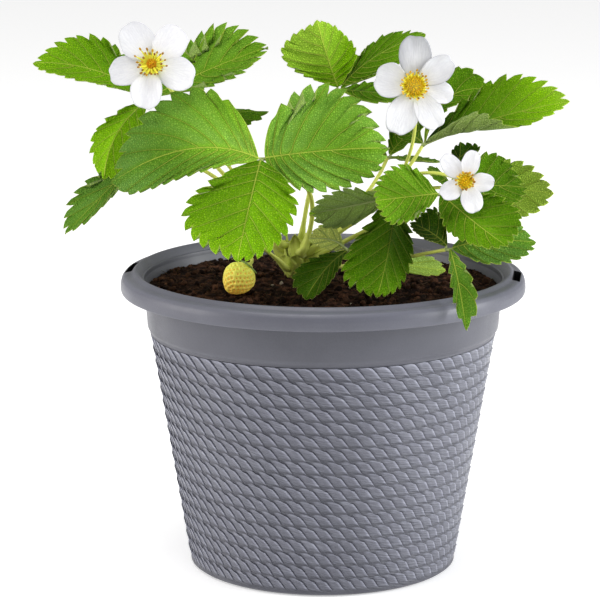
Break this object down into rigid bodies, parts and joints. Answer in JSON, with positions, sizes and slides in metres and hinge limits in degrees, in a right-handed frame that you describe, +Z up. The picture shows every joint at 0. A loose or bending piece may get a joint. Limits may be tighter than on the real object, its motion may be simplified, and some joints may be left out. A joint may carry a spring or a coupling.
{
  "type": "potted strawberry plant",
  "caption": "Strawberry plant in flower in a round tapered pot with a rolled rim, a moulded band and hanger slots, filled with soil; trifoliate leaves, white flowers and an unripe berry.",
  "frame": {"origin": "centre of the pot's underside, where it stands", "axes": "+Z up along the pot's axis, -Y to the front of the plant as pictured, +X to its right"},
  "size_m": [0.2631, 0.2, 0.2721],
  "materials": {
    "pot": "satin",
    "soil": "matte",
    "crown": "matte",
    "leaf": "satin",
    "young_leaf": "satin",
    "stem": "satin",
    "petal": "satin",
    "heart": "matte",
    "fruit": "satin"
  },
  "bodies": {
    "root": {"crown": "crown", "flower_1_heart": "heart", "flower_1_petals": "petal", "flower_1_stalk": "stem", "flower_2_heart": "heart", "flower_2_petals": "petal", "flower_2_stalk": "stem", "flower_3_heart": "heart", "flower_3_petals": "petal", "flower_3_stalk": "stem", "fruit": "fruit", "fruit_stalk": "stem", "leaf_10_left": "leaf", "leaf_10_middle": "leaf", "leaf_10_petiole": "stem", "leaf_10_right": "leaf", "leaf_11_left": "young_leaf", "leaf_11_middle": "young_leaf", "leaf_11_petiole": "stem", "leaf_11_right": "young_leaf", "leaf_1_left": "leaf", "leaf_1_middle": "leaf", "leaf_1_petiole": "stem", "leaf_1_right": "leaf", "leaf_2_left": "leaf", "leaf_2_middle": "leaf", "leaf_2_petiole": "stem", "leaf_2_right": "leaf", "leaf_3_left": "leaf", "leaf_3_middle": "leaf", "leaf_3_petiole": "stem", "leaf_3_right": "leaf", "leaf_4_left": "leaf", "leaf_4_middle": "leaf", "leaf_4_petiole": "stem", "leaf_4_right": "leaf", "leaf_5_left": "leaf", "leaf_5_middle": "leaf", "leaf_5_petiole": "stem", "leaf_5_right": "leaf", "leaf_6_left": "leaf", "leaf_6_middle": "leaf", "leaf_6_petiole": "stem", "leaf_6_right": "leaf", "leaf_7_left": "leaf", "leaf_7_middle": "leaf", "leaf_7_petiole": "stem", "leaf_7_right": "leaf", "leaf_8_left": "leaf", "leaf_8_middle": "leaf", "leaf_8_petiole": "stem", "leaf_8_right": "leaf", "leaf_9_left": "leaf", "leaf_9_middle": "leaf", "leaf_9_petiole": "stem", "leaf_9_right": "leaf", "pot": "pot", "soil": "soil"}
  },
  "joints": []
}
